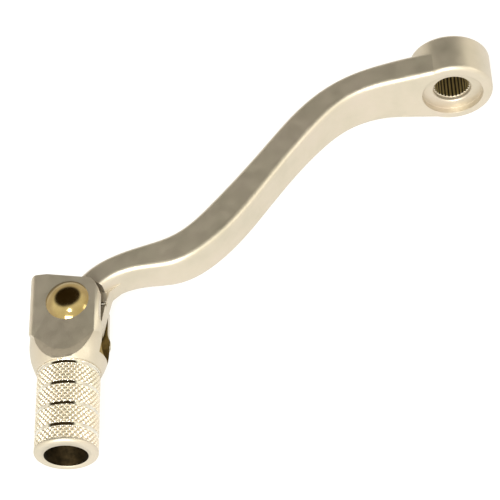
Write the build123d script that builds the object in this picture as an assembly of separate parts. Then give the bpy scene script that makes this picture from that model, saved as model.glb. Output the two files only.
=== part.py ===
from build123d import *
import math
import os

# Motorcycle gear shift lever with a sprung folding tip.  Millimetres.
# Z up; the gearbox shaft axis is the Y axis; -Y is the outboard side, where the rider's
# foot is; the arm runs towards -X and the foot peg points along -Y.
os.makedirs("parts", exist_ok=True)
THROUGH = 20.0

# hub
HUB_R = 13.0
HUB_L = 14.2
SEAT_R = 9.8
SEAT_DEPTH = 2.1
LEAD_R = 6.0
LEAD_DEPTH = 1.6
TOOTH_ROOT_R = 5.9
TOOTH_TIP_R = 5.4
TEETH = 30
HUB_EDGE = 1.5
SEAT_CHAMFER = 0.35

# folding pivot, and the foot peg's own axis
PIVOT_X = -122.9
PIVOT_Y = -68.0
PEG_X = -123.6

# arm
ARM_ARRIS = 1.6
TONGUE_TOP_Z = 0.8
TONGUE_BOTTOM_Z = -4.2
TONGUE_EYE_R = 8.3
TONGUE_REAR_Y = -58.6
TONGUE_FOOT_X = -114.4
TONGUE_FOOT_R = 2.5
TONGUE_EDGE_R = 1.5
SHOULDER_R = 10.5
ARM_END_X = -112.75
ARM_END_Y = -62.25
ARM_REACH = 100.0
BUSH_R = 5.0
BUSH_TOP_Z = 4.2

# tip body (clevis) and peg
TIP_R = 12.2
TIP_REAR_Y = -57.8
TIP_REAR_R = 1.0
TIP_SHOULDER_Y = -79.5
NECK_R = 9.9
NECK_Y = -89.3
PEG_R = 9.55
PEG_END_Y = -116.8
PEG_END_ROUND = 1.0
PEG_HOLE_R = 6.6
PEG_HOLE_DEPTH = 28.0
BLOCK_HALF_W = 11.3
BLOCK_EDGE_R = 2.0
BLOCK_NOSE_HALF_W = 8.0
BLOCK_NOSE_L = 3.2
FLAT_Z = 8.0
FLAT_POINT_Y = -87.0
FLAT_POINT_R = 7.5
FLAT_POINT_SLOPE = 0.8
FLAT_WALL_TAPER = 66.0
FLAT_REACH = 20.0
REAR_SLANT = 12.0
REAR_SLANT_FROM = 6.0
SWING_R = 10.1
RELIEF_X = -113.1
RELIEF_END_Y = -74.5
RELIEF_END_R = 6.0
SLOT_H = 10.0
SLOT_FLOOR_Y = -85.5
SLOT_FLOOR_R = 3.5
SLOT_WALL_X = -131.5

# pivot hardware
RIVET_R = 4.0
RIVET_HEAD_R = 6.7
RIVET_HEAD_H = 2.8
RIVET_FIT = 0.04
WASHER_R = 6.0
WASHER_T = 0.7
WASHER_BORE_R = 4.15

# torsion spring
WIRE_R = 0.5
COIL_R = 6.6
COIL_PITCH = 1.15
COIL_TURNS = 1.7
COIL_Z = 1.5
COIL_START = 16.0
FIXED_LEG_DROP = 0.7
GROOVE_W = 1.3
GROOVE_DEPTH = 0.9
GROOVE_FROM_X = -117.4
FIXED_LEG_END_X = -112.9
LEG_GAP = 0.3


def y_cylinder(radius, y_from, y_to, x=0.0, z=0.0):
    """Cylinder along Y between two Y values."""
    mid = Pos(x, (y_from + y_to) / 2, z)
    return mid * Rot(90, 0, 0) * Cylinder(radius, abs(y_to - y_from))


def z_cylinder(radius, z_from, z_to, x=PIVOT_X, y=PIVOT_Y):
    """Cylinder along Z between two Z values."""
    return Pos(x, y, (z_from + z_to) / 2) * Cylinder(radius, z_to - z_from)


def save(shape, name):
    export_step(shape, "parts/" + name + ".step")


# ---------------------------------------------------------------- lever arm
# Plan view: an S-bend that carries the tip outboard of the hub.
front_face = Line((-5.0, 0), (-17.0, 0))
front_edge = Spline(
    (-17.0, 0), (-22.0, -0.2), (-32.5, -3.0), (-44.0, -11.9), (-61.0, -32.2),
    (-78.8, -51.8), (-90.3, -57.6), (-101.0, -58.1), (ARM_END_X, ARM_END_Y),
)
rear_edge = Spline(
    (-5.0, 9.0), (-20.8, 8.9), (-32.5, 6.5), (-44.0, 0.8), (-61.0, -16.6),
    (-78.8, -37.0), (-90.3, -46.4), (-101.0, -49.4), (-110.3, -52.0), (-119.6, -57.9),
)
arm_plan = make_face([
    front_face,
    front_edge,
    Line(front_edge @ 1, rear_edge @ 1),
    rear_edge,
    Line(rear_edge @ 0, front_face @ 0),
])

# The tongue that the tip folds on: square on the stop side, round on the peg side.
tongue_left = PIVOT_X - TONGUE_EYE_R
tongue_end = PIVOT_Y - TONGUE_EYE_R
tongue_edge = Polyline(
    (-106.5, -52.0), (-120.0, TONGUE_REAR_Y), (tongue_left, TONGUE_REAR_Y), (tongue_left, tongue_end),
    (TONGUE_FOOT_X, tongue_end), (-112.9, -68.0), (-111.5, -62.3), (-106.5, -58.4), (-106.5, -52.0),
)
tongue_plan = make_face(tongue_edge)


def corner(face, x, y):
    """The vertex of a flat face nearest to a point."""
    return face.vertices().sort_by_distance((x, y, 0))[0]


tongue_plan = fillet(corner(tongue_plan, tongue_left, tongue_end), TONGUE_EYE_R - 0.3)
tongue_plan = fillet(corner(tongue_plan, TONGUE_FOOT_X, tongue_end), TONGUE_FOOT_R)
tongue_plan = fillet(corner(tongue_plan, tongue_left, TONGUE_REAR_Y), TONGUE_EDGE_R)
tongue_plan = fillet(corner(tongue_plan, -111.5, -62.3), TONGUE_EDGE_R)

# Side view: the arm tapers from the hub to the tip, symmetric about the shaft plane.
top_edge = Spline(
    (-2.5, 12.3), (-11.0, 10.9), (-20.8, 9.4), (-32.5, 8.4), (-44.0, 7.35),
    (-58.0, 6.6), (-78.8, 6.6), (-95.0, 6.3), (-122.0, 5.4),
)
bottom_edge = mirror(top_edge, about=Plane.XY.rotated((90, 0, 0)))
side_view = make_face([
    top_edge,
    Line(top_edge @ 1, bottom_edge @ 1),
    bottom_edge,
    Line(bottom_edge @ 0, top_edge @ 0),
])
side_solid = extrude(Plane.XZ * side_view, amount=ARM_REACH, both=True)
arm = extrude(arm_plan, amount=THROUGH, both=True) & side_solid
long_edges = arm.edges().filter_by(lambda e: e.length > ARM_REACH / 2)
arm = fillet(long_edges, ARM_ARRIS)

hub = y_cylinder(HUB_R, 0, HUB_L)
hub = fillet(hub.edges().filter_by(GeomType.CIRCLE), HUB_EDGE)
arm = arm + hub
tongue_zone = z_cylinder(SHOULDER_R, -THROUGH, THROUGH)
arm = arm - tongue_zone
tongue = extrude(tongue_plan, amount=TONGUE_TOP_Z - TONGUE_BOTTOM_Z)
arm = arm + Pos(0, 0, TONGUE_BOTTOM_Z) * tongue

# Screw seat and serrated bore for the gearbox shaft.
arm = arm - y_cylinder(SEAT_R, -1, SEAT_DEPTH)
arm = arm - y_cylinder(LEAD_R, 0, SEAT_DEPTH + LEAD_DEPTH)
lead_mouth = [e for e in arm.edges().filter_by(GeomType.CIRCLE)
              if abs(e.radius - LEAD_R) < 0.01 and abs(e.center().Y - SEAT_DEPTH) < 0.01]
arm = chamfer(lead_mouth, SEAT_CHAMFER)
tooth_points = []
for i in range(2 * TEETH):
    radius = TOOTH_ROOT_R if i % 2 else TOOTH_TIP_R
    angle = math.pi * i / TEETH
    tooth_points.append((radius * math.cos(angle), radius * math.sin(angle)))
serration = make_face(Polyline(*tooth_points, close=True))
arm = arm - Pos(0, HUB_L + 1, 0) * extrude(Plane.XZ * serration, amount=HUB_L + 2)

# Bushing bore, and the groove that holds the spring's fixed leg.
arm = arm - z_cylinder(BUSH_R, -THROUGH, THROUGH)
groove_y = PIVOT_Y + COIL_R * math.sin(math.radians(COIL_START))
groove = Box(8, GROOVE_W, 2 * GROOVE_DEPTH, align=(Align.MIN, Align.CENTER, Align.CENTER))
arm = arm - Pos(GROOVE_FROM_X, groove_y, TONGUE_TOP_Z) * groove
save(arm, "lever_arm")

# -------------------------------------------------------------- folding tip
profile = make_face([
    Line((0, TIP_REAR_Y), (TIP_R, TIP_REAR_Y)),
    Line((TIP_R, TIP_REAR_Y), (TIP_R, TIP_SHOULDER_Y)),
    ThreePointArc((TIP_R, TIP_SHOULDER_Y), (TIP_R - 0.8, -85.6), (NECK_R, NECK_Y)),
    Line((NECK_R, NECK_Y), (PEG_R, NECK_Y)),
    Line((PEG_R, NECK_Y), (PEG_R, PEG_END_Y)),
    Line((PEG_R, PEG_END_Y), (0, PEG_END_Y)),
    Line((0, PEG_END_Y), (0, TIP_REAR_Y)),
])
tip = revolve(profile, Axis.Y, 360)
tip = fillet(tip.edges().filter_by(GeomType.CIRCLE).sort_by(Axis.Y)[-1], TIP_REAR_R)
tip = fillet(tip.edges().filter_by(GeomType.CIRCLE).sort_by(Axis.Y)[0], PEG_END_ROUND)
tip = Pos(PEG_X, 0, 0) * tip

# Square shoulders of the clevis, with rounded long edges.
shoulder_y = FLAT_POINT_Y + FLAT_POINT_SLOPE * BLOCK_HALF_W
block_plan = make_face(Polyline(
    (-BLOCK_HALF_W, TIP_REAR_Y), (-BLOCK_HALF_W, shoulder_y),
    (-BLOCK_NOSE_HALF_W, shoulder_y - BLOCK_NOSE_L), (BLOCK_NOSE_HALF_W, shoulder_y - BLOCK_NOSE_L),
    (BLOCK_HALF_W, shoulder_y), (BLOCK_HALF_W, TIP_REAR_Y), close=True,
))
block = extrude(block_plan, amount=FLAT_Z, both=True)
rear_corners = block.edges().filter_by(Axis.Z).sort_by(Axis.Y)[-2:]
block = fillet(block.edges().filter_by(Axis.Y) + rear_corners, BLOCK_EDGE_R)
tip = tip + Pos(PEG_X, 0, 0) * block

# Flats above and below, each ending in a rounded point towards the peg.
flat_side_y = FLAT_POINT_Y + FLAT_POINT_SLOPE * FLAT_REACH
flat_plan = make_face(Polyline(
    (-FLAT_REACH, -40), (-FLAT_REACH, flat_side_y), (0, FLAT_POINT_Y),
    (FLAT_REACH, flat_side_y), (FLAT_REACH, -40), close=True,
))
flat_plan = fillet(corner(flat_plan, 0, FLAT_POINT_Y), FLAT_POINT_R)
flat_cut = extrude(flat_plan, amount=6, dir=(0, 0, 1), taper=-FLAT_WALL_TAPER)
flat_cut = Pos(PEG_X, 0, FLAT_Z) * flat_cut
tip = tip - flat_cut - mirror(flat_cut, about=Plane.XY)

# Clevis slot, closed on the stop side, with a round inner corner.
slot_plan = make_face(Polyline(
    (SLOT_WALL_X, -40), (SLOT_WALL_X, SLOT_FLOOR_Y), (-100, SLOT_FLOOR_Y), (-100, -40), close=True,
))
slot = extrude(slot_plan, amount=SLOT_H / 2, both=True)
floor_edges = slot.edges().filter_by(Axis.X).sort_by(Axis.Y)[:2]
tip = tip - fillet(floor_edges, SLOT_FLOOR_R)

# The inner side is relieved beside the tongue.
relief = make_face(Polyline(
    (RELIEF_X, -40), (RELIEF_X, RELIEF_END_Y), (RELIEF_X + 2.6, RELIEF_END_Y - 5.5),
    (-100, RELIEF_END_Y - 5.5), (-100, -40), close=True,
))
relief = fillet(corner(relief, RELIEF_X, RELIEF_END_Y), RELIEF_END_R)
tip = tip - extrude(relief, amount=THROUGH, both=True)

# The rear face slants, and its inner corner is round so that it swings past the arm.
rear_pivot = Pos(PEG_X - REAR_SLANT_FROM, TIP_REAR_Y, 0) * Rot(0, 0, -REAR_SLANT)
tip = tip - rear_pivot * Pos(20, 10, 0) * Box(40, 20, 40)
corner_block = Pos(PIVOT_X + 15, PIVOT_Y + 15, 0) * Box(30, 30, 40)
tip = tip - (corner_block - z_cylinder(SWING_R, -THROUGH, THROUGH))

tip = tip - y_cylinder(PEG_HOLE_R, PEG_END_Y - 1, PEG_END_Y + PEG_HOLE_DEPTH, PEG_X)
tip = tip - z_cylinder(RIVET_R, -THROUGH, THROUGH)
save(tip, "folding_tip")

# ------------------------------------------------------------ pivot hardware
dome_r = (RIVET_HEAD_R**2 + RIVET_HEAD_H**2) / (2 * RIVET_HEAD_H)
dome = Pos(0, 0, RIVET_HEAD_H - dome_r) * Sphere(dome_r)
dome = dome & Pos(0, 0, RIVET_HEAD_H / 2) * Cylinder(RIVET_HEAD_R + 1, RIVET_HEAD_H)
head = Pos(PIVOT_X, PIVOT_Y, FLAT_Z) * dome
tail = mirror(head, about=Plane.XY)
rivet = z_cylinder(RIVET_R, -FLAT_Z, FLAT_Z) + head + tail
save(rivet, "pivot_rivet")

bushing = z_cylinder(BUSH_R, TONGUE_BOTTOM_Z, BUSH_TOP_Z)
bushing = bushing - z_cylinder(RIVET_R + RIVET_FIT, -10, 10)
save(bushing, "pivot_bushing")

washer_z = (BUSH_TOP_Z + SLOT_H / 2 - WASHER_T) / 2
washer = z_cylinder(WASHER_R, washer_z, washer_z + WASHER_T)
washer = washer - z_cylinder(WASHER_BORE_R, -10, 10)
save(washer, "upper_thrust_washer")
save(mirror(washer, about=Plane.XY), "lower_thrust_washer")

# ------------------------------------------------------------- return spring
spring_end_z = COIL_Z + COIL_PITCH * COIL_TURNS
coil = Helix(COIL_PITCH, COIL_PITCH * COIL_TURNS, COIL_R)
coil_wire = sweep(Plane(coil @ 0, z_dir=coil % 0) * Circle(WIRE_R), path=coil)
spring = Pos(PIVOT_X, PIVOT_Y, COIL_Z) * Rot(0, 0, COIL_START) * coil_wire

start_x = PIVOT_X + COIL_R * math.cos(math.radians(COIL_START))
fixed_leg_line = Line(
    (start_x, groove_y, COIL_Z), (FIXED_LEG_END_X, groove_y, COIL_Z - FIXED_LEG_DROP)
)
fixed_leg = sweep(
    Plane(fixed_leg_line @ 0, z_dir=fixed_leg_line % 0) * Circle(WIRE_R), path=fixed_leg_line
)
start_bend = Pos(start_x, groove_y, COIL_Z) * Sphere(WIRE_R)
leg_angle = math.radians(COIL_START + 360 * COIL_TURNS)
leg_x = PIVOT_X + COIL_R * math.cos(leg_angle)
leg_y = PIVOT_Y + COIL_R * math.sin(leg_angle)
moving_leg = z_cylinder(WIRE_R, spring_end_z, SLOT_H / 2 - LEG_GAP, leg_x, leg_y)
end_bend = Pos(leg_x, leg_y, spring_end_z) * Sphere(WIRE_R)
save(spring + start_bend + fixed_leg + end_bend + moving_leg, "return_spring")
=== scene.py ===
"""Looks of the gear shift lever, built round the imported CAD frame. Metres, in the CAD's own frame."""
import math

import bmesh
import bpy
from mathutils import Matrix, Vector


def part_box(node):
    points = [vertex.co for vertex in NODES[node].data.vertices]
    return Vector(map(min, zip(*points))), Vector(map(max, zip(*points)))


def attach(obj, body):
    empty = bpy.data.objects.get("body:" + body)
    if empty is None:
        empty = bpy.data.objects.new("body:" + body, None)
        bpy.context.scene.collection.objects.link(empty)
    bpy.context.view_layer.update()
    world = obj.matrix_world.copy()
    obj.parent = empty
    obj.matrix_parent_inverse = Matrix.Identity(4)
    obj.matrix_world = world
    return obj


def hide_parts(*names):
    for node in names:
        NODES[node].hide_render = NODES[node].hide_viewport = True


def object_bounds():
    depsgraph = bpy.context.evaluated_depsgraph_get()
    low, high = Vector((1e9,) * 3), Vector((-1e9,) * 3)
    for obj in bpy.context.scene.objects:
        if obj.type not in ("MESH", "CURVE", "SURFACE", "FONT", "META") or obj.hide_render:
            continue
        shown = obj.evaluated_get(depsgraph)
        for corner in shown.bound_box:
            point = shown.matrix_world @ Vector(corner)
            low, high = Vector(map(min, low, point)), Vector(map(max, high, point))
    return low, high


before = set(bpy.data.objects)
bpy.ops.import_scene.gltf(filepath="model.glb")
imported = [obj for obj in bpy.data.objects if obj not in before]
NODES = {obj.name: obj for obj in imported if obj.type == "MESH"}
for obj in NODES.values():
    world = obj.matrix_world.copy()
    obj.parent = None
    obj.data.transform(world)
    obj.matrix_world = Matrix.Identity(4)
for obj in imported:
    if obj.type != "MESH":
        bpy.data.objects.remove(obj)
CAD_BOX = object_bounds()

# Camera: where it stands, what it looks at on the lever's mid-plane, and its roll.
CAMERA_AT = (-0.0073, -0.3512, 0.4471)
LOOK_AT = (-0.0674, -0.0516, 0.0)
ROLL = math.radians(-15.51)
LENS_MM = 125.96
SENSOR_MM = 36.0

# Room: the direction of the dark patch overhead, and the floor below the lever.
DARK_PATCH = (-0.11, 0.50, 0.86)
FLOOR_HALF_W = 3.0
FLOOR_GAP = 0.0005

# Foot peg: its free end comes from the tip's box, the rest repeats the part's dimensions.
PEG_R = 0.00955
PEG_X = -0.1236
PEG_END_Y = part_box("folding_tip")[0].y
HOLE_R = 0.0066
HOLE_FLOOR_Y = PEG_END_Y + 0.0280

# Knurled skin of the peg, and the rings turned into it.
KNURL_FROM_Y = PEG_END_Y + 0.0275
KNURL_TO_Y = PEG_END_Y + 0.0012
KNURL_PITCH = 0.00128
KNURL_DEPTH = 0.00056
KNURL_CREST = 1.35
KNURL_INSET = 0.00002
KNURL_FADE_ROWS = 4
SLEEVE_R = 0.00890
FIRST_RING_Y = -0.0901
RING_STEP = 0.00695
RING_Y = [FIRST_RING_Y - RING_STEP * i for i in range(4)]
RING_W = 0.0013
RING_DEPTH = 0.00030
RING_EDGE_W = 0.00015
CHANNEL_MARGIN = 0.004

# Clevis slot, and the serrated bore round the Y axis.
SLOT_HALF_H = 0.0050
SLOT_WALL_X = -0.1315
SLOT_FLOOR_Y = -0.0855
BORE_R = 0.0061
TEETH_FROM_Y = 0.0038
TOOTH_TIP_R = 0.0054
TOOTH_ROOT_R = 0.0059

# Colours of the satin aluminium's faint mottling, and how near a face centre counts as on a wall.
MOTTLE = [(0.30, (0.55, 0.50, 0.40)), (0.50, (0.59, 0.53, 0.43)), (0.72, (0.61, 0.54, 0.45))]
WALL_NEAR = 0.00002
HOLE_NEAR = 0.00005
END_NEAR = 0.0001


# ------------------------------------------------------------------ helpers
def new_object(name, mesh, material, body):
    """A piece with its material, riding on a CAD body."""
    piece = bpy.data.objects.new(name, mesh)
    bpy.context.scene.collection.objects.link(piece)
    mesh.materials.clear()
    mesh.materials.append(material)
    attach(piece, body)
    return piece


def apply_modifiers(piece):
    """Bakes an object's modifiers into its mesh."""
    graph = bpy.context.evaluated_depsgraph_get()
    mesh = bpy.data.meshes.new_from_object(piece.evaluated_get(graph))
    piece.modifiers.clear()
    piece.data = mesh


def smooth_by_angle(mesh, degrees):
    """Smooth shading, with edges sharper than an angle kept sharp."""
    mesh.shade_smooth()
    mesh.set_sharp_from_angle(angle=math.radians(degrees))


# ---------------------------------------------------------------- materials
class Nodes:
    """A few short calls for building a material's node tree."""

    def __init__(self, name):
        self.material = bpy.data.materials.new(name)
        self.material.use_nodes = True
        self.tree = self.material.node_tree
        self.shader = self.tree.nodes["Principled BSDF"]

    def add(self, kind, **values):
        node = self.tree.nodes.new(kind)
        for key, value in values.items():
            if hasattr(node, key):
                setattr(node, key, value)
            else:
                node.inputs[key.replace("_", " ")].default_value = value
        return node

    def link(self, source, target):
        self.tree.links.new(source, target)

    def place(self):
        return self.add("ShaderNodeTexCoord").outputs["Object"]

    def noise(self, scale, detail=3.0):
        node = self.add("ShaderNodeTexNoise", Scale=scale, Detail=detail, Roughness=0.55)
        self.link(self.place(), node.inputs["Vector"])
        return node.outputs["Fac"]

    def ramp(self, factor, stops):
        node = self.add("ShaderNodeValToRGB")
        while len(node.color_ramp.elements) < len(stops):
            node.color_ramp.elements.new(0.5)
        for element, (position, colour) in zip(node.color_ramp.elements, stops):
            element.position = position
            element.color = (*colour, 1.0)
        self.link(factor, node.inputs["Fac"])
        return node.outputs["Color"]

    def spread(self, factor, low, high):
        node = self.add("ShaderNodeMapRange")
        node.inputs["From Min"].default_value = 0.3
        node.inputs["From Max"].default_value = 0.7
        node.inputs["To Min"].default_value = low
        node.inputs["To Max"].default_value = high
        self.link(factor, node.inputs["Value"])
        return node.outputs["Result"]

    def bump(self, height, strength, distance, edge_radius=None):
        node = self.add("ShaderNodeBump", Strength=strength, Distance=distance)
        self.link(height, node.inputs["Height"])
        if edge_radius:
            edge = self.add("ShaderNodeBevel", samples=6, Radius=edge_radius)
            self.link(edge.outputs["Normal"], node.inputs["Normal"])
        self.link(node.outputs["Normal"], self.shader.inputs["Normal"])


def distance_from_y_axis(n, place):
    """How far a surface point lies from the Y axis."""
    across = n.add("ShaderNodeCombineXYZ")
    n.link(place.outputs["X"], across.inputs["X"])
    n.link(place.outputs["Z"], across.inputs["Z"])
    reach = n.add("ShaderNodeVectorMath", operation="LENGTH")
    n.link(across.outputs["Vector"], reach.inputs[0])
    return reach.outputs["Value"]


def compare(n, value, operation, limit):
    """1 where a value passes a limit, else 0."""
    node = n.add("ShaderNodeMath", operation=operation)
    n.link(value, node.inputs[0])
    node.inputs[1].default_value = limit
    return node.outputs["Value"]


def with_painted_bore_shade(n, colour):
    """The colour given, except in the bore: there painted warm reflection and shade, brown on the tooth
    tips and near-black in the tooth roots.
    """
    place = n.add("ShaderNodeSeparateXYZ")
    n.link(n.place(), place.inputs["Vector"])
    reach = distance_from_y_axis(n, place)
    toothed = n.add("ShaderNodeMath", operation="MULTIPLY")
    n.link(compare(n, reach, "LESS_THAN", BORE_R), toothed.inputs[0])
    n.link(compare(n, place.outputs["Y"], "GREATER_THAN", TEETH_FROM_Y), toothed.inputs[1])
    groove = n.add("ShaderNodeMapRange")
    groove.inputs["From Min"].default_value = TOOTH_TIP_R
    groove.inputs["From Max"].default_value = TOOTH_ROOT_R
    n.link(reach, groove.inputs["Value"])
    # Painted reflection and shade: brown on the tooth tips, darkening to near-black in the tooth roots.
    bore_shade_colour = n.ramp(groove.outputs["Result"], [(0.15, (0.42, 0.33, 0.14)), (0.75, (0.03, 0.02, 0.01))])
    mix = n.add("ShaderNodeMix", data_type="RGBA")
    n.link(toothed.outputs["Value"], mix.inputs[0])
    n.link(colour, mix.inputs[6])
    n.link(bore_shade_colour, mix.inputs[7])
    return mix.outputs[2]


def satin_aluminium(name, paint_bore_shade=False, bright=1.0, rough=(0.40, 0.50)):
    """Blasted and clear-anodised aluminium: warm, faintly mottled, fine grain."""
    n = Nodes(name)
    # A bright above 1 paints the aluminium lighter, as painted light.
    stops = [(at, tuple(bright * c for c in shade)) for at, shade in MOTTLE]
    colour = n.ramp(n.noise(90.0), stops)
    # With paint_bore_shade, the bore gets painted reflection and shade.
    if paint_bore_shade:
        colour = with_painted_bore_shade(n, colour)
    n.link(colour, n.shader.inputs["Base Color"])
    n.shader.inputs["Metallic"].default_value = 0.80
    n.link(n.spread(n.noise(260.0), *rough), n.shader.inputs["Roughness"])
    n.bump(n.noise(5200.0, 2.0), 0.16, 0.00006, edge_radius=0.00035)
    return n.material


def polished_plate():
    """Bright yellow-passivated plating of the rivet."""
    n = Nodes("polished_plate")
    colour = n.ramp(n.noise(160.0), [(0.30, (0.30, 0.22, 0.09)), (0.70, (0.44, 0.34, 0.17))])
    n.link(colour, n.shader.inputs["Base Color"])
    n.shader.inputs["Metallic"].default_value = 1.0
    n.link(n.spread(n.noise(700.0), 0.10, 0.17), n.shader.inputs["Roughness"])
    n.bump(n.noise(2400.0, 2.0), 0.05, 0.00003)
    return n.material


def spring_steel():
    """Drawn wire with a dull grey skin."""
    n = Nodes("spring_steel")
    colour = n.ramp(n.noise(900.0), [(0.30, (0.24, 0.22, 0.19)), (0.70, (0.42, 0.39, 0.34))])
    n.link(colour, n.shader.inputs["Base Color"])
    n.shader.inputs["Metallic"].default_value = 1.0
    n.link(n.spread(n.noise(1500.0), 0.28, 0.42), n.shader.inputs["Roughness"])
    n.bump(n.noise(6000.0), 0.10, 0.00003)
    return n.material


def turned_metal_or_shade(name, dark, light, rough=(0.26, 0.40)):
    """Machined uncoated metal, or a painted shade for a hollow, from its darkest to its lightest
    colour.
    """
    n = Nodes(name)
    colour = n.ramp(n.noise(500.0), [(0.30, dark), (0.70, light)])
    n.link(colour, n.shader.inputs["Base Color"])
    n.shader.inputs["Metallic"].default_value = 1.0
    n.link(n.spread(n.noise(1200.0), *rough), n.shader.inputs["Roughness"])
    n.bump(n.noise(3500.0), 0.12, 0.00003)
    return n.material


# The arm's aluminium carries painted reflection and shade in its serrated bore.
ARM_ALUMINIUM = satin_aluminium("arm_aluminium", paint_bore_shade=True)
ALUMINIUM = satin_aluminium("tip_aluminium")
# Painted light: the knurled skin's aluminium is painted 1.35 times lighter than the tip's.
KNURLED_LIT = satin_aluminium("knurled_aluminium_painted_light", bright=1.35, rough=(0.28, 0.36))
RING = turned_metal_or_shade("polished_ring", (0.62, 0.58, 0.50), (0.80, 0.77, 0.68), rough=(0.08, 0.16))
# Painted shade: near-black colour on the wall and floor of the peg's hole.
HOLE_SHADE = turned_metal_or_shade("painted_hole_shade", (0.008, 0.006, 0.003), (0.025, 0.017, 0.008), rough=(0.45, 0.6))
# Painted shade: dark brown colour on the walls and floor of the clevis slot.
SLOT_SHADE = turned_metal_or_shade("painted_slot_shade", (0.24, 0.17, 0.06), (0.34, 0.25, 0.10), rough=(0.4, 0.5))
PLATE = polished_plate()
WIRE = spring_steel()
BRONZE = turned_metal_or_shade("turned_bronze", (0.46, 0.30, 0.13), (0.62, 0.43, 0.20))
WASHER = turned_metal_or_shade("washer_steel", (0.42, 0.40, 0.37), (0.60, 0.58, 0.54))

for node, material in {
    "lever_arm": ARM_ALUMINIUM, "pivot_rivet": PLATE, "pivot_bushing": BRONZE,
    "upper_thrust_washer": WASHER, "lower_thrust_washer": WASHER, "return_spring": WIRE,
}.items():
    mesh = NODES[node].data
    mesh.materials.clear()
    mesh.materials.append(material)


# -------------------------------------------------------------- folding tip
def ring_depth(y):
    """1 in the middle of a turned ring groove, 0 away from it."""
    nearest = min(abs(y - centre) for centre in RING_Y)
    edge = (RING_W / 2 - nearest) / RING_EDGE_W
    return min(1.0, max(0.0, edge))


def knurl_height(angle, y):
    """Height of the diamond knurl, 0 in its grooves and 1 on its points."""
    along = PEG_R * angle
    starts = round(2 * math.pi * PEG_R / (KNURL_PITCH * math.sqrt(2)))
    turn = starts * along / PEG_R
    climb = 2 * math.pi * y / (KNURL_PITCH * math.sqrt(2))
    first = abs(math.sin((turn + climb) / 2))
    second = abs(math.sin((turn - climb) / 2))
    return min(1.0, KNURL_CREST * min(first, second))


def ring_of_points(grid, around, y, radius_at):
    """A ring of points round the peg's axis, its radius given by a function of the angle."""
    ring = []
    for i in range(around):
        angle = 2 * math.pi * i / around
        radius = radius_at(angle)
        ring.append(grid.verts.new((PEG_X + radius * math.cos(angle), y, radius * math.sin(angle))))
    return ring


def closed_tube(name, grid, rings):
    """A mesh with faces between each ring and the next, and from the last to the first."""
    for j in range(len(rings)):
        here, there = rings[j], rings[(j + 1) % len(rings)]
        for i in range(len(here)):
            k = (i + 1) % len(here)
            grid.faces.new((here[i], here[k], there[k], there[i]))
    bmesh.ops.recalc_face_normals(grid, faces=grid.faces)
    mesh = bpy.data.meshes.new(name)
    grid.to_mesh(mesh)
    grid.free()
    return mesh


def knurled_sleeve():
    """Closed tube that carries the knurl and the four turned rings."""
    around = 480
    rows = 260
    length = KNURL_FROM_Y - KNURL_TO_Y
    grid = bmesh.new()
    rings = []
    for j in range(rows + 1):
        y = KNURL_FROM_Y - length * j / rows
        fade = min(1.0, min(j, rows - j) / KNURL_FADE_ROWS)
        ring = ring_depth(y)

        def skin_radius(angle, y=y, fade=fade, ring=ring):
            knurl = (1 - knurl_height(angle, y)) * KNURL_DEPTH * (1 - ring)
            return PEG_R - KNURL_INSET - fade * (knurl + ring * RING_DEPTH)

        rings.append(ring_of_points(grid, around, y, skin_radius))
    for y in (KNURL_TO_Y, KNURL_FROM_Y):
        rings.append(ring_of_points(grid, around, y, lambda angle: SLEEVE_R))
    mesh = closed_tube("peg_knurl", grid, rings)
    smooth_by_angle(mesh, 50)
    return mesh


def channel_tool():
    """Ring-shaped cutter for the channel that the knurled skin sits in."""
    outside = PEG_R + CHANNEL_MARGIN
    corners = [(SLEEVE_R, KNURL_FROM_Y), (outside, KNURL_FROM_Y),
               (outside, KNURL_TO_Y), (SLEEVE_R, KNURL_TO_Y)]
    grid = bmesh.new()
    rings = [ring_of_points(grid, 192, y, lambda angle, r=r: r) for r, y in corners]
    return closed_tube("channel_tool", grid, rings)


def welded_tip():
    """A copy of the CAD tip's mesh with its doubled points joined."""
    mesh = NODES["folding_tip"].data.copy()
    grid = bmesh.new()
    grid.from_mesh(mesh)
    bmesh.ops.remove_doubles(grid, verts=grid.verts, dist=1e-7)
    grid.to_mesh(mesh)
    grid.free()
    return mesh


def tip_casting():
    """The tip as in CAD, with a channel turned round the peg for its knurled skin."""
    cutter = bpy.data.objects.new("channel_tool", channel_tool())
    blank = bpy.data.objects.new("tip_blank", welded_tip())
    for helper in (cutter, blank):
        bpy.context.scene.collection.objects.link(helper)
    cut = blank.modifiers.new("channel", "BOOLEAN")
    cut.operation = "DIFFERENCE"
    cut.solver = "EXACT"
    cut.object = cutter
    apply_modifiers(blank)
    mesh = blank.data
    for helper in (cutter, blank):
        bpy.data.objects.remove(helper)
    smooth_by_angle(mesh, 18)
    return mesh


def in_peg_hole(x, y, z):
    """Whether a face centre is on the wall or floor of the peg's hole."""
    radial = math.hypot(x - PEG_X, z) < HOLE_R + HOLE_NEAR
    return radial and PEG_END_Y + END_NEAR < y < HOLE_FLOOR_Y + END_NEAR


def in_clevis_slot(x, y, z):
    """Whether a face centre is on the walls or floor of the clevis slot."""
    beside = x > SLOT_WALL_X - WALL_NEAR
    behind = y > SLOT_FLOOR_Y - WALL_NEAR
    return beside and behind and abs(z) < SLOT_HALF_H + WALL_NEAR


def paint_hollow_shade(mesh):
    """Paints shade into the peg's hole (near-black) and the clevis slot (dark brown) as their own
    materials.
    """
    mesh.materials.append(HOLE_SHADE)
    mesh.materials.append(SLOT_SHADE)
    for face in mesh.polygons:
        if in_peg_hole(*face.center):
            face.material_index = 1
        elif in_clevis_slot(*face.center):
            face.material_index = 2


def paint_rings(mesh):
    """Gives the turned rings between the knurled bands a polished finish."""
    mesh.materials.append(RING)
    for face in mesh.polygons:
        if ring_depth(face.center.y) > 0.3:
            face.material_index = 1


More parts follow.
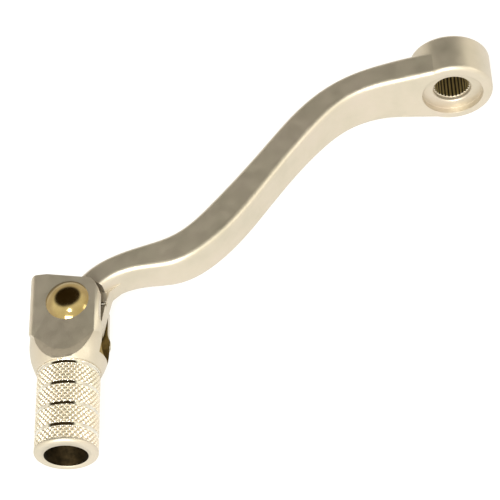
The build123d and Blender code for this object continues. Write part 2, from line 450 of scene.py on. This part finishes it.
casting = new_object("tip_body", tip_casting(), ALUMINIUM, "tip")
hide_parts("folding_tip")
paint_hollow_shade(casting.data)
knurl = new_object("peg_knurl", knurled_sleeve(), KNURLED_LIT, "tip")
paint_rings(knurl.data)


# -------------------------------------------------------------------- stage
def add_camera():
    """Long-lens camera, rolled a little, looking down on the lever from the foot peg's side."""
    camera = bpy.data.objects.new("camera", bpy.data.cameras.new("camera"))
    bpy.context.scene.collection.objects.link(camera)
    camera.data.sensor_width = SENSOR_MM
    camera.data.lens = LENS_MM
    aim = (Vector(LOOK_AT) - Vector(CAMERA_AT)).to_track_quat("-Z", "Y").to_matrix().to_4x4()
    camera.matrix_world = Matrix.Translation(CAMERA_AT) @ aim @ Matrix.Rotation(ROLL, 4, "Z")
    bpy.context.scene.camera = camera


def add_floor():
    """Wide pale floor, lit mostly by its own glow, as a light table is."""
    mesh = bpy.data.meshes.new("floor")
    half = FLOOR_HALF_W
    level = CAD_BOX[0][2] - FLOOR_GAP
    corners = [(-half, -half, level), (half, -half, level), (half, half, level), (-half, half, level)]
    mesh.from_pydata(corners, [], [(0, 1, 2, 3)])
    floor = bpy.data.objects.new("floor", mesh)
    bpy.context.scene.collection.objects.link(floor)
    n = Nodes("floor")
    n.shader.inputs["Base Color"].default_value = (0.22, 0.22, 0.22, 1)
    n.shader.inputs["Roughness"].default_value = 1.0
    n.shader.inputs["Emission Color"].default_value = (1.0, 0.99, 0.96, 1)
    n.shader.inputs["Emission Strength"].default_value = 0.86
    mesh.materials.append(n.material)


def add_softbox(name, at, size, watts, colour):
    """Rectangular lamp aimed at the middle of the lever."""
    light = bpy.data.lights.new(name, "AREA")
    light.shape = "RECTANGLE"
    light.size, light.size_y = size
    light.energy = watts
    light.color = colour
    lamp = bpy.data.objects.new(name, light)
    bpy.context.scene.collection.objects.link(lamp)
    lamp.location = at
    aim = Vector(LOOK_AT) - Vector(at)
    lamp.rotation_euler = aim.to_track_quat("-Z", "Y").to_euler()


def ramp_between(tree, source, stops):
    """Smooth colour ramp driven by a world-direction value."""
    ramp = tree.nodes.new("ShaderNodeValToRGB")
    ramp.color_ramp.interpolation = "EASE"
    for element, (position, colour) in zip(ramp.color_ramp.elements, stops):
        element.position = position
        element.color = (*colour, 1.0)
    tree.links.new(source, ramp.inputs["Fac"])
    return ramp.outputs["Color"]


def add_world():
    """Warm room, brightest overhead, with a dark patch high up behind."""
    world = bpy.data.worlds.new("room")
    world.use_nodes = True
    tree = world.node_tree
    background = tree.nodes["Background"]
    background.inputs["Strength"].default_value = 1.50
    direction = tree.nodes.new("ShaderNodeTexCoord").outputs["Generated"]
    height = tree.nodes.new("ShaderNodeSeparateXYZ")
    tree.links.new(direction, height.inputs["Vector"])
    room_stops = [(0.25, (0.72, 0.67, 0.59)), (0.65, (1.0, 0.98, 0.82))]
    room = ramp_between(tree, height.outputs["Z"], room_stops)
    towards = tree.nodes.new("ShaderNodeVectorMath")
    towards.operation = "DOT_PRODUCT"
    towards.inputs[1].default_value = Vector(DARK_PATCH).normalized()
    tree.links.new(direction, towards.inputs[0])
    shade_stops = [(0.66, (1.0, 1.0, 1.0)), (0.80, (0.03, 0.02, 0.01))]
    shade = ramp_between(tree, towards.outputs["Value"], shade_stops)
    mixed = tree.nodes.new("ShaderNodeMix")
    mixed.data_type = "RGBA"
    mixed.blend_type = "MULTIPLY"
    mixed.inputs[0].default_value = 1.0
    tree.links.new(room, mixed.inputs[6])
    tree.links.new(shade, mixed.inputs[7])
    tree.links.new(mixed.outputs[2], background.inputs["Color"])
    bpy.context.scene.world = world


bpy.context.scene.view_settings.view_transform = "Standard"
add_camera()
add_floor()
add_world()
add_softbox("front_softbox", (-0.18, -0.88, 0.56), (0.45, 0.14), 6.5, (1.0, 0.98, 0.94))
add_softbox("overhead_lamp", (-0.08, -0.52, 0.85), (0.14, 0.10), 3.0, (0.86, 0.94, 1.0))
add_softbox("side_softbox", (0.9, -0.2, 0.5), (0.3, 0.3), 1.0, (1.0, 0.97, 0.92))
